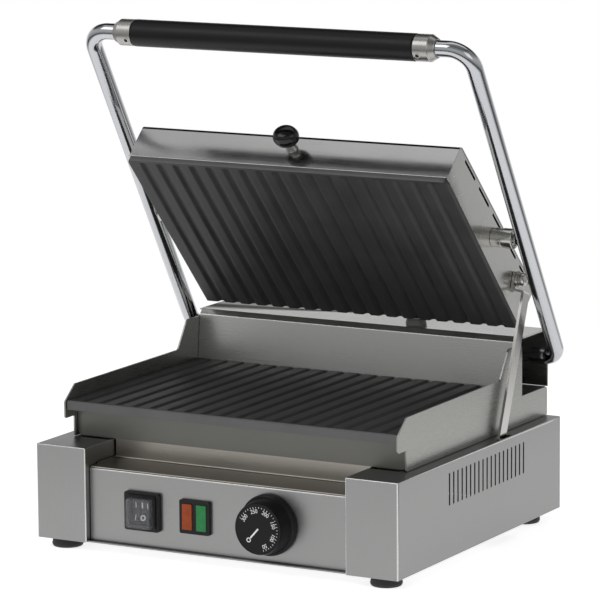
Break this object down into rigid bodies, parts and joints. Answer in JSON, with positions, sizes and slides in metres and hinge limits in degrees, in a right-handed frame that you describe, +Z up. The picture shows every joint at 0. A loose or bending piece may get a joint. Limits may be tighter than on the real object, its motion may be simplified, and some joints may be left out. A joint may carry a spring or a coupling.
{
  "type": "panini press",
  "caption": "Electric contact grill with ribbed lower and upper cast plates, tubular lifting handle, sliding link, splash guards and a front control panel.",
  "frame": {"origin": "on the supporting surface at the middle of the footprint, between the front of the dial and the back of the inlet gland", "axes": "+Z up, +X to the right of a person facing the control panel, -Y towards that person; the upper plate is drawn fully open"},
  "size_m": [0.4496, 0.392, 0.5233],
  "materials": {
    "base_steel": "brushed stainless, satin",
    "body_steel": "satin stainless",
    "head_steel": "satin stainless",
    "tray_steel": "dull stainless",
    "cast_iron": "matte, ribbed",
    "chrome_tube": "polished",
    "nickel": "satin nickel",
    "bronze": "sintered",
    "black_plastic": "fine satin",
    "black_gloss": "glossy",
    "dial_plastic": "satin",
    "grip_sleeve": "satin",
    "rubber": "matte",
    "orange_lens": "translucent",
    "green_lens": "translucent",
    "boot": "clear flexible, smoky",
    "insulation": "mineral board",
    "ceramic": "moulded"
  },
  "bodies": {
    "base": {"base_cheek_right": "base_steel", "base_cheek_left": "base_steel", "control_panel": "base_steel", "base_floor": "base_steel", "base_rear_panel": "base_steel", "foot_front_right": "rubber", "foot_rear_right": "rubber", "foot_front_left": "rubber", "foot_rear_left": "rubber", "switch_bezel": "black_plastic", "switch_boot": "boot", "lamp_bezel": "black_plastic", "lamp_lens_orange": "orange_lens", "lamp_lens_green": "green_lens", "thermostat": "ceramic", "terminal_block": "ceramic", "inlet_gland": "rubber", "splash_guard_right": "body_steel", "splash_guard_left": "body_steel", "body_skirt": "body_steel", "body_floor": "body_steel", "body_rear_shelf": "body_steel", "rear_cover": "body_steel", "lead_grommet": "rubber", "lower_plate": "cast_iron", "lower_heating_element": "nickel", "lower_heat_shield": "insulation", "hinge_bracket_right": "base_steel", "hinge_bracket_left": "base_steel", "hinge_bush_right": "bronze", "hinge_bush_left": "bronze", "torsion_spring_right": "nickel", "torsion_spring_left": "nickel"},
    "handle": {"handle_frame": "chrome_tube", "hinge_shaft": "nickel", "handle_grip": "grip_sleeve", "grip_cap_right": "nickel", "grip_cap_left": "nickel", "grip_set_screw_right": "nickel", "grip_set_screw_left": "nickel", "pivot_pin_right": "nickel", "pivot_pin_left": "nickel"},
    "head": {"upper_plate": "cast_iron", "upper_housing": "head_steel", "upper_heating_element": "nickel", "upper_heat_shield": "insulation", "knob_stem": "nickel", "lifting_knob": "black_gloss", "pivot_boss_right": "nickel", "pivot_boss_left": "nickel", "link_spacer": "nickel", "link_washer": "nickel", "link_bolt": "nickel"},
    "link": {"link_bar": "base_steel", "link_stop_pin": "nickel"},
    "dial": {"thermostat_knob": "dial_plastic"},
    "rocker": {"switch_rocker": "black_plastic"},
    "tray": {"grease_tray": "tray_steel"}
  },
  "joints": [
    {"name": "handle_hinge", "type": "hinge", "parent": "base", "child": "handle", "pos_m": [0, 0.1524, 0.1741], "axis": [1, 0, 0], "range_deg": [0, 57.2]},
    {"name": "head_pivot", "type": "hinge", "parent": "handle", "child": "head", "pos_m": [0, 0.07239, 0.30728], "axis": [1, 0, 0], "range_deg": [-10.3, 0.2]},
    {"name": "link_pivot", "type": "hinge", "parent": "head", "child": "link", "pos_m": [0.187, 0.12018, 0.2579], "axis": [1, 0, 0], "range_deg": [-30.8, 0.2]},
    {"name": "dial_turn", "type": "hinge", "parent": "base", "child": "dial", "pos_m": [0.0598, -0.1853, 0.0492], "axis": [0, 1, 0], "range_deg": [0, 280]},
    {"name": "rocker_tilt", "type": "hinge", "parent": "base", "child": "rocker", "pos_m": [-0.0845, -0.1748, 0.0475], "axis": [1, 0, 0], "range_deg": [0, 8]},
    {"name": "tray_slide", "type": "slide", "parent": "base", "child": "tray", "axis": [0, -1, 0], "range_m": [0, 0.06]}
  ],
  "couplings": [
    {"joint": "head_pivot", "follows": "handle_hinge", "ratio": -0.17657},
    {"joint": "link_pivot", "follows": "handle_hinge", "ratio": -0.53497}
  ]
}
